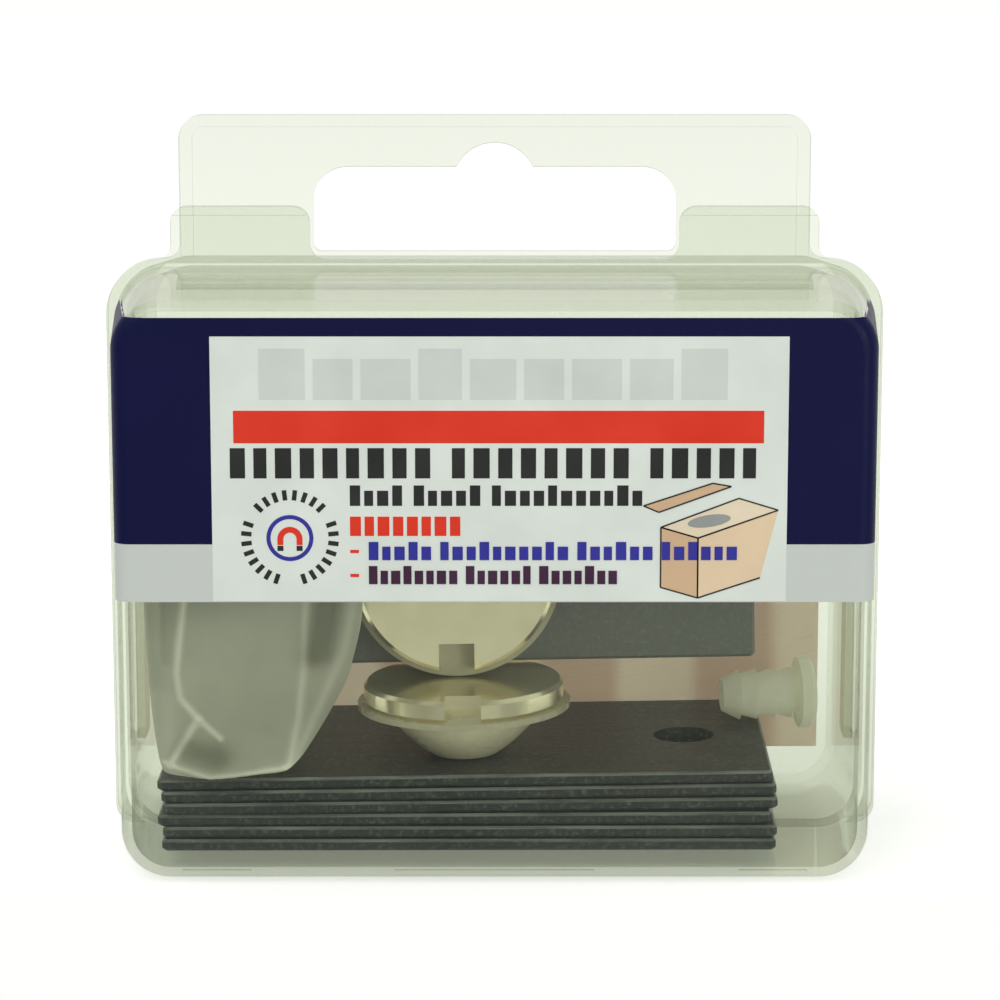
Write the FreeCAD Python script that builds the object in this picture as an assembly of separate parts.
import FreeCAD, Part
import math
import os

# Spacer plates, which set the room that the case needs
plate_length = 58.0
plate_width = 27.8
plate_thickness = 1.1
plate_count = 6
plate_hole_radius = 2.95
plate_hole_inset = 7.8
plate_corner_cut = 0.4
plate_edge_cut = 0.25
plate_play = 0.05
fan_shift = 0.25
fan_turn_deg = 0.35
fan_tilt_deg = 0.2

# Case, two drafted shells that meet at the plane y = 0
wall = 1.0
left_room = 2.2
right_room = 7.2
front_room = 4.0
back_room = 1.2
side_draft = 1.3
top_draft = 1.3
head_room = 11.1
corner_radius = 4.6
face_edge_round = 1.4
rim_gap = 0.2
flange_reach = 0.9
flange_rise = 0.5
flange_thickness = 1.2
flange_foot = 0.9
flange_chamfer = 1.9
groove_height = 0.5
groove_depth = 0.45
groove_rise = 0.45

# Hang tab with its euro hole, on the rear shell
tab_rise = 13.6
tab_inset = 6.1
tab_corner_radius = 2.3
tab_base_round = 1.5
tab_border_width = 1.2
tab_border_rise = 0.5
hole_width = 34.4
hole_height = 8.0
hole_sill = 0.7
hole_end_radius = 3.2
hole_foot_radius = 0.8
hole_peak_radius = 4.0
hole_peak_rise = 2.3

# Snap tabs, on the front shell
snap_rise = 5.1
snap_width = 13.2
snap_inset = 5.3
snap_corner_radius = 1.6
snap_rib_height = 0.8
snap_rib_rise = 0.5

# Closing collar inside the rear shell, and the film hinge
collar_reach = 2.0
collar_root = 2.4
collar_thickness = 0.8
collar_clearance = 0.4
collar_end_gap = 5.0
hinge_film = 0.4
hinge_film_root = 1.0
hinge_film_gap = 0.06
hinge_strap_width = 13.4
hinge_strap_inner = 9.3
hinge_drop = 0.15

# Round magnet unit
cup_radius = 7.7
cup_foot_radius = 3.2
cup_bulge = 0.35
cup_height = 5.15
cup_floor = 1.3
flange_disc_radius = 10.2
flange_disc_thickness = 0.55
magnet_radius = 3.6
magnet_clearance = 0.05
pole_radius = 9.6
pole_thickness = 2.0
pole_edge_cut = 0.35
notch_width = 3.4
notch_depth = 2.7
unit_offset_x = -0.35
unit_offset_y = -5.2
stand_shift = -0.6
stand_back = 6.8
lean_deg = 7.0

# Strike plate that the standing unit holds
strike_thickness = 1.5
strike_width = 27.8
strike_drop = 9.4
strike_hole_radius = 2.4

# Rubber buffers
buffer_head_radius = 3.5
buffer_head_thickness = 1.5
buffer_head_bevel = 0.45
buffer_core_radius = 2.0
buffer_barb_radius = 2.5
buffer_barb_count = 4
buffer_barb_pitch = 1.7
buffer_neck = 0.8
buffer_tip_radius = 1.6
buffer_overhang = 3.3
buffer_turn_deg = 6.0
buffer_1_back = 6.0
buffer_2_inset = 12.8
buffer_2_back = 0.6

# Paper and film
label_thickness = 0.15
label_bottom = 26.6
label_top = 52.9
label_wrap = 12.5
back_label_foot = 3.6
back_label_margin = 0.4
back_label_head = 7.2
bag_height = 36.0
bag_width = 20.6
bag_depth = 11.5
seat_gap = 0.1
soft_gap = 0.3

# Sizes that follow
face_half_width = (plate_length + left_room + right_room) / 2 + wall
rim_half_width = face_half_width + side_draft
shell_depth = (plate_width + front_room + back_room) / 2 + wall
floor_z = wall
corner_reach = max(corner_radius - wall - left_room, 0)
corner_rise = corner_radius - wall - math.sqrt((corner_radius - wall) ** 2 - corner_reach ** 2)
stack_base = floor_z + corner_rise + seat_gap
stack_top = stack_base + plate_count * (plate_thickness + plate_play) - plate_play
stack_left = -face_half_width + wall + left_room
stack_centre_x = stack_left + plate_length / 2
stack_front = -shell_depth + wall + front_room
stack_centre_y = stack_front + plate_width / 2
unit_height = cup_height + pole_thickness
unit_x = stack_centre_x + unit_offset_x
unit_y = stack_centre_y + unit_offset_y
lean = math.radians(lean_deg)
unit_top = stack_top + seat_gap + unit_height
strike_top = unit_top + flange_disc_radius + (strike_width - strike_drop) * math.cos(lean)
stack_tilt_deg = fan_tilt_deg * (plate_count - 1)
tilt_rise = plate_length / 2 * math.tan(math.radians(stack_tilt_deg))
rim_height = strike_top + tilt_rise + head_room
face_height = rim_height - top_draft
tab_half_width = rim_half_width - tab_inset
tab_base = rim_height + flange_rise
tab_top = tab_base + tab_rise


def box(x0, x1, y0, y1, z0, z1):
    return Part.makeBox(x1 - x0, y1 - y0, z1 - z0, FreeCAD.Vector(x0, y0, z0))


def rounded_face(x0, x1, z0, z1, low_radius, high_radius, y):
    """Rectangle in the XZ plane with one radius at its lower and one at its upper corners."""
    half_turn = math.sqrt(0.5)
    corners = [(x0, z0, 1, 1, low_radius), (x1, z0, -1, 1, low_radius),
               (x1, z1, -1, -1, high_radius), (x0, z1, 1, -1, high_radius)]
    edges = []
    last = None
    first = None
    for index, (x, z, inward_x, inward_z, radius) in enumerate(corners):
        centre = FreeCAD.Vector(x + inward_x * radius, y, z + inward_z * radius)
        on_side = FreeCAD.Vector(x, y, centre.z)
        on_level = FreeCAD.Vector(centre.x, y, z)
        middle = centre - FreeCAD.Vector(inward_x, 0, inward_z) * (radius * half_turn)
        start, end = (on_side, on_level) if index % 2 == 0 else (on_level, on_side)
        if last is not None:
            edges.append(Part.LineSegment(last, start).toShape())
        edges.append(Part.Arc(start, middle, end).toShape())
        first = first or start
        last = end
    edges.append(Part.LineSegment(last, first).toShape())
    return Part.Face(Part.Wire(edges))


def section_size(y, side):
    """Half width and top of the outer walls where they pass a plane of the given y."""
    share = y * side / shell_depth
    return rim_half_width - side_draft * share, rim_height - top_draft * share


def drafted_block(inset, y_rim, y_face, side, far_radius):
    """Drafted solid with rounded long edges, its walls inset from the outer ones. Its far edges may be sharp."""
    near_half, near_top = section_size(y_rim, side)
    far_half, far_top = section_size(y_face, side)
    length = abs(y_face - y_rim)
    block = Part.makeWedge(inset - near_half, 0, inset, inset, inset - far_half,
                           near_half - inset, length, near_top - inset, far_top - inset, far_half - inset)
    if side < 0:
        block = block.mirror(FreeCAD.Vector(0, 0, 0), FreeCAD.Vector(0, 1, 0))
    block.translate(FreeCAD.Vector(0, y_rim, 0))
    long_edges = [edge for edge in block.Edges if edge.BoundBox.YLength > length / 2]
    block = block.makeFillet(corner_radius - inset, long_edges)
    if far_radius == 0:
        return block
    far = [edge for edge in block.Edges if all(abs(vertex.Y - y_face) < 1e-6 for vertex in edge.Vertexes)]
    return block.makeFillet(far_radius, far)


def shell_walls(side):
    """Open drafted shell on one side of the parting plane."""
    outer = drafted_block(0, side * rim_gap / 2, side * shell_depth, side, face_edge_round)
    inner = drafted_block(wall, -side, side * (shell_depth - wall), side, 0)
    return outer.cut(inner)


def rim_opening(side):
    half_width = rim_half_width - wall
    face = rounded_face(-half_width, half_width, wall, rim_height - wall,
                        corner_radius - wall, corner_radius - wall, -side)
    return face.extrude(FreeCAD.Vector(0, side * (flange_thickness + 2), 0))


def rim_flange(side):
    """Flange round the sides and top of the opening, chamfered at its two feet."""
    reach = rim_half_width + flange_reach
    top = rim_height + flange_rise
    y = side * rim_gap / 2
    face = rounded_face(-reach, reach, flange_foot, top, flange_chamfer, corner_radius + flange_rise, y)
    return face.extrude(FreeCAD.Vector(0, side * (flange_thickness - rim_gap / 2), 0))


def floor_grooves(side):
    """Thin grooves along the lower edge of the far face, between and outside the hinge straps."""
    strap_outer = hinge_strap_inner + hinge_strap_width
    groove_end = face_half_width - corner_radius - wall
    spans = [(-hinge_strap_inner, hinge_strap_inner), (strap_outer, groove_end), (-groove_end, -strap_outer)]
    far = side * shell_depth
    near = far - side * groove_depth
    y0, y1 = min(far, near) - (1 if side < 0 else 0), max(far, near) + (1 if side > 0 else 0)
    return [box(x0, x1, y0, y1, groove_rise, groove_rise + groove_height) for x0, x1 in spans if x1 > x0]


def hinge_straps(side):
    """Each shell's half of the two film straps along the lower edge."""
    y0, y1 = sorted((side * hinge_film_gap / 2, side * hinge_film_root))
    strap_outer = hinge_strap_inner + hinge_strap_width
    return [box(x0, x1, y0, y1, 0, hinge_film)
            for x0, x1 in ((hinge_strap_inner, strap_outer), (-strap_outer, -hinge_strap_inner))]


def base_round(side, x, z, radius, y0, y1):
    """Concave corner piece where a tab rises from the flange, on its left or right."""
    block = box(min(x, x + side * radius), max(x, x + side * radius), y0, y1, z - flange_rise / 2, z + radius)
    rod = Part.makeCylinder(radius, y1 - y0, FreeCAD.Vector(x + side * radius, y0, z + radius), FreeCAD.Vector(0, 1, 0))
    return block.cut(rod)


def euro_hole():
    """Hang hole with a flat foot, round ends and a raised middle that finds the hook."""
    sill = tab_base + hole_sill
    y0 = -2.0
    length = flange_thickness + tab_border_rise + 4
    slot = rounded_face(-hole_width / 2, hole_width / 2, sill, sill + hole_height,
                        hole_foot_radius, hole_end_radius, y0).extrude(FreeCAD.Vector(0, length, 0))
    peak_z = sill + hole_height + hole_peak_rise - hole_peak_radius
    peak = Part.makeCylinder(hole_peak_radius, length, FreeCAD.Vector(0, y0, peak_z), FreeCAD.Vector(0, 1, 0))
    return slot.fuse(peak)


def hang_tab():
    y0 = rim_gap / 2
    sheet = rounded_face(-tab_half_width, tab_half_width, rim_height - wall, tab_top,
                         0.2, tab_corner_radius, y0).extrude(FreeCAD.Vector(0, flange_thickness - y0, 0))
    border_outer = rounded_face(-tab_half_width, tab_half_width, tab_base, tab_top, 0.2, tab_corner_radius,
                                flange_thickness).extrude(FreeCAD.Vector(0, tab_border_rise, 0))
    inner_half = tab_half_width - tab_border_width
    border_inner = rounded_face(-inner_half, inner_half, tab_base - 1, tab_top - tab_border_width, 0.2,
                                max(tab_corner_radius - tab_border_width, 0.3),
                                flange_thickness - 0.5).extrude(FreeCAD.Vector(0, tab_border_rise + 1, 0))
    border = border_outer.cut(border_inner)
    rounds = [base_round(side, side * tab_half_width, tab_base, tab_base_round, y0, flange_thickness)
              for side in (-1, 1)]
    return sheet.fuse([border] + rounds).cut(euro_hole())


def closing_collar():
    """Three strips inside the rear opening that the front shell closes over."""
    side_face = rim_half_width - wall - collar_clearance
    top_face = rim_height - wall - collar_clearance
    strips = []
    low = corner_radius + collar_end_gap
    high = rim_height - corner_radius - collar_end_gap
    for side in (-1, 1):
        x0, x1 = sorted((side * side_face, side * (side_face - collar_thickness)))
        strips.append(box(x0, x1, -collar_reach, collar_root, low, high))
        x0, x1 = sorted((side * (side_face - collar_thickness), side * (rim_half_width - wall / 2)))
        strips.append(box(x0, x1, rim_gap / 2, collar_root, low, high))
    end = rim_half_width - corner_radius - collar_end_gap / 4
    strips.append(box(-end, end, -collar_reach, collar_root, top_face - collar_thickness, top_face))
    strips.append(box(-end, end, rim_gap / 2, collar_root, top_face - collar_thickness, rim_height - wall / 2))
    return strips


def rear_shell():
    body = shell_walls(1).fuse([rim_flange(1).cut(rim_opening(1)), hang_tab()] + closing_collar() + hinge_straps(1))
    return body.cut(floor_grooves(1)).removeSplitter()


def snap_tab(side):
    """Upright tab with a finger rib along its top, in front of the hang tab."""
    x_outer = side * (rim_half_width - snap_inset)
    x0, x1 = sorted((x_outer, x_outer - side * snap_width))
    y0 = -rim_gap / 2
    y1 = -flange_thickness
    sheet = rounded_face(x0, x1, rim_height - wall, tab_base + snap_rise, 0.2, snap_corner_radius,
                         y0).extrude(FreeCAD.Vector(0, y1 - y0, 0))
    rib = rounded_face(x0, x1, tab_base, tab_base + snap_rise, 0.2, snap_corner_radius,
                       y1).extrude(FreeCAD.Vector(0, -snap_rib_rise, 0))
    rib = rib.cut(box(x0 - 1, x1 + 1, y1 - snap_rib_rise - 1, y1 + 1, tab_base - 1,
                      tab_base + snap_rise - snap_rib_height))
    rounds = [base_round(turn, x, tab_base, tab_base_round, y1, y0) for turn, x in ((-1, x0), (1, x1))]
    return sheet.fuse([rib] + rounds)


def front_shell():
    body = shell_walls(-1).fuse([rim_flange(-1).cut(rim_opening(-1)), snap_tab(-1), snap_tab(1)] + hinge_straps(-1))
    return body.cut(floor_grooves(-1)).removeSplitter()


def front_label():
    """Band round the front face and both front corners of the front shell."""
    outer = drafted_block(-label_thickness, -rim_gap / 2, -shell_depth - label_thickness, -1,
                          face_edge_round + label_thickness)
    body = drafted_block(0, -rim_gap / 2, -shell_depth, -1, face_edge_round)
    reach = rim_half_width + flange_reach
    band = box(-reach, reach, -shell_depth - 1, -shell_depth + label_wrap, label_bottom, label_top)
    return outer.cut(body).common(band)


def back_label():
    """Flat label on the outside of the rear shell's back face."""
    half_width = face_half_width - face_edge_round - back_label_margin
    return box(-half_width, half_width, shell_depth, shell_depth + label_thickness,
               back_label_foot, face_height - back_label_head)


def flat_plate(length, width, thickness, hole_radius):
    """Plate with two screw holes and softened edges, its middle at the origin and its face up."""
    blank = box(-length / 2, length / 2, -width / 2, width / 2, 0, thickness)
    upright = [edge for edge in blank.Edges if abs(edge.tangentAt(edge.FirstParameter).z) > 0.9]
    blank = blank.makeChamfer(plate_corner_cut, upright)
    level = [edge for edge in blank.Edges if abs(edge.BoundBox.ZLength) < 1e-6]
    blank = blank.makeChamfer(plate_edge_cut, level)
    for side in (-1, 1):
        centre = FreeCAD.Vector(side * (length / 2 - plate_hole_inset), 0, -1)
        blank = blank.cut(Part.makeCylinder(hole_radius, thickness + 2, centre))
    return blank


def tilt_with_plate(solid, index):
    """Raises a piece's right end as much as that of the plate of this index, counted from the lowest."""
    hinge = FreeCAD.Vector(stack_left, 0, stack_base + index * (plate_thickness + plate_play))
    solid.rotate(hinge, FreeCAD.Vector(0, 1, 0), -fan_tilt_deg * index)
    return solid


def spacer_plate(index):
    plate = flat_plate(plate_length, plate_width, plate_thickness, plate_hole_radius)
    plate.rotate(FreeCAD.Vector(0, 0, 0), FreeCAD.Vector(0, 0, 1), fan_turn_deg * math.cos(1.9 * index))
    plate.translate(FreeCAD.Vector(stack_centre_x + fan_shift * math.sin(2.3 * index), stack_centre_y,
                                   stack_base + index * (plate_thickness + plate_play)))
    return tilt_with_plate(plate, index)


def magnet_cup():
    """Pressed steel cup, bowed from a narrow foot up to a thin flange at its mouth, with a bore for the magnet."""
    under_flange = cup_height - flange_disc_thickness
    foot = FreeCAD.Vector(cup_foot_radius, 0, 0)
    neck = FreeCAD.Vector(cup_radius, 0, under_flange)
    outward = FreeCAD.Vector(under_flange, 0, cup_foot_radius - cup_radius).normalize() * cup_bulge
    centre = FreeCAD.Vector(0, 0, 0)
    corners = [(flange_disc_radius, under_flange), (flange_disc_radius, cup_height), (0, cup_height)]
    points = [neck] + [FreeCAD.Vector(x, 0, z) for x, z in corners] + [centre]
    edges = [Part.LineSegment(centre, foot).toShape(), Part.Arc(foot, (foot + neck) / 2 + outward, neck).toShape()]
    edges += [Part.LineSegment(a, b).toShape() for a, b in zip(points, points[1:])]
    body = Part.Face(Part.Wire(edges)).revolve(FreeCAD.Vector(0, 0, 0), FreeCAD.Vector(0, 0, 1), 360)
    bore = Part.makeCylinder(magnet_radius + magnet_clearance, cup_height, FreeCAD.Vector(0, 0, cup_floor))
    return body.cut(bore)


def magnet_disc():
    return Part.makeCylinder(magnet_radius, cup_height - cup_floor - magnet_clearance,
                             FreeCAD.Vector(0, 0, cup_floor))


def pole_disc():
    """Thick disc over the magnet, with one square notch for a screwdriver blade."""
    disc = Part.makeCylinder(pole_radius, pole_thickness, FreeCAD.Vector(0, 0, cup_height))
    notch = box(-notch_width / 2, notch_width / 2, -pole_radius - 1, -pole_radius + notch_depth,
                cup_height - 1, cup_height + pole_thickness + 1)
    disc = disc.cut(notch)
    rims = [edge for edge in disc.Edges
            if abs(edge.BoundBox.ZLength) < 1e-6 and edge.Length > 4 * pole_radius]
    return disc.makeChamfer(pole_edge_cut, rims)


def lay_flat(solid):
    """Puts a piece of the first unit on the stack, notch to the front."""
    solid.translate(FreeCAD.Vector(unit_x, unit_y, stack_top + seat_gap))
    return tilt_with_plate(solid, plate_count - 1)


def stand_up(solid):
    """Puts a piece of the second unit, or its strike plate, on edge on the first unit, leaning back."""
    turn = math.radians(90) - lean
    low_back = cup_height - flange_disc_thickness
    lowest = -flange_disc_radius * math.sin(turn) + low_back * math.cos(turn)
    solid.rotate(FreeCAD.Vector(0, 0, 0), FreeCAD.Vector(1, 0, 0), math.degrees(turn))
    solid.translate(FreeCAD.Vector(unit_x + stand_shift, unit_y + stand_back, unit_top + seat_gap - lowest))
    return tilt_with_plate(solid, plate_count - 1)


def strike_plate():
    plate = flat_plate(plate_length, strike_width, strike_thickness, strike_hole_radius)
    plate.translate(FreeCAD.Vector(0, strike_width / 2 - strike_drop, -strike_thickness))
    return plate


def rubber_buffer():
    """Drill-in buffer along X: shallow head, neck and a row of barbs that ends in a blunt tip."""
    points = [(0, 0), (0, buffer_head_radius - buffer_head_bevel), (buffer_head_bevel, buffer_head_radius)]
    points += [(buffer_head_thickness, buffer_head_radius), (buffer_head_thickness, buffer_core_radius)]
    start = buffer_head_thickness + buffer_neck
    end = start + buffer_barb_count * buffer_barb_pitch
    points += [(start, buffer_core_radius)]
    for index in range(buffer_barb_count):
        x = start + index * buffer_barb_pitch
        points += [(x, buffer_barb_radius), (x + buffer_barb_pitch, buffer_core_radius)]
    points[-1] = (end, buffer_tip_radius)
    outline = [FreeCAD.Vector(-x, 0, r) for x, r in points + [(end, 0)]]
    edges = [Part.LineSegment(a, b).toShape() for a, b in zip(outline, outline[1:] + outline[:1])]
    return Part.Face(Part.Wire(edges)).revolve(FreeCAD.Vector(0, 0, 0), FreeCAD.Vector(1, 0, 0), 360)


def buffer_beside_stack():
    """First buffer, its barbs on the stack and its head just past the stack's right end."""
    solid = rubber_buffer()
    solid.rotate(FreeCAD.Vector(0, 0, 0), FreeCAD.Vector(0, 0, 1), buffer_turn_deg)
    head_back = stack_left + plate_length + fan_shift + buffer_overhang
    solid.translate(FreeCAD.Vector(head_back + buffer_head_thickness, stack_centre_y + buffer_1_back,
                                   stack_top + seat_gap + buffer_barb_radius))
    return tilt_with_plate(solid, plate_count - 1)


def buffer_behind_bag():
    """Second buffer, hidden behind the bag, its head lying on the stack."""
    solid = rubber_buffer()
    solid.rotate(FreeCAD.Vector(0, 0, 0), FreeCAD.Vector(0, 0, 1), -buffer_turn_deg)
    solid.translate(FreeCAD.Vector(stack_left + buffer_2_inset, stack_centre_y + buffer_2_back,
                                   stack_top + seat_gap + buffer_head_radius))
    return tilt_with_plate(solid, plate_count - 1)


def fixings_bag():
    """Soft bag that stands in the front left corner, narrow at its foot and flat at its sealed top."""
    left = -face_half_width + wall + soft_gap
    front = -shell_depth + wall + soft_gap
    foot = stack_top + bag_width * math.tan(math.radians(stack_tilt_deg)) + soft_gap
    from_front = [(0.24, 0.0), (0.70, 0.0), (0.80, 0.22), (1.0, 0.5), (0.97, 0.85), (0.9, 1.0), (0.1, 1.0),
                  (0.0, 0.85), (0.0, 0.14)]
    from_side = [(0.2, 0.0), (0.5, 0.0), (0.9, 0.25), (1.0, 0.5), (0.85, 0.8), (0.5, 1.0), (0.36, 1.0),
                 (0.05, 0.8), (0.0, 0.45), (0.05, 0.1)]
    across = [FreeCAD.Vector(left + x * bag_width, front - 1, foot + z * bag_height) for x, z in from_front]
    along = [FreeCAD.Vector(left - 1, front + y * bag_depth, foot + z * bag_height) for y, z in from_side]
    front_prism = Part.Face(Part.makePolygon(across + across[:1])).extrude(FreeCAD.Vector(0, bag_depth + 2, 0))
    side_prism = Part.Face(Part.makePolygon(along + along[:1])).extrude(FreeCAD.Vector(bag_width + 2, 0, 0))
    return front_prism.common(side_prism)


def build():
    shapes = {"rear_shell": rear_shell(), "front_shell": front_shell(), "front_label": front_label(),
              "back_label": back_label(), "fixings_bag": fixings_bag(),
              "rubber_buffer_1": buffer_beside_stack(), "rubber_buffer_2": buffer_behind_bag(),
              "strike_plate": stand_up(strike_plate())}
    for index in range(plate_count):
        shapes[f"spacer_plate_{index + 1}"] = spacer_plate(index)
    for name, maker in (("magnet_cup", magnet_cup), ("magnet_disc", magnet_disc), ("pole_disc", pole_disc)):
        shapes[f"flat_{name}"] = lay_flat(maker())
        shapes[f"standing_{name}"] = stand_up(maker())
    return shapes


os.makedirs("parts", exist_ok=True)
for node, shape in build().items():
    shape.exportStep(f"parts/{node}.step")
    box_of = shape.BoundBox
    print(node, len(shape.Solids), shape.isValid(), round(shape.Volume, 1),
          [round(v, 2) for v in (box_of.XMin, box_of.XMax, box_of.YMin, box_of.YMax, box_of.ZMin, box_of.ZMax)])
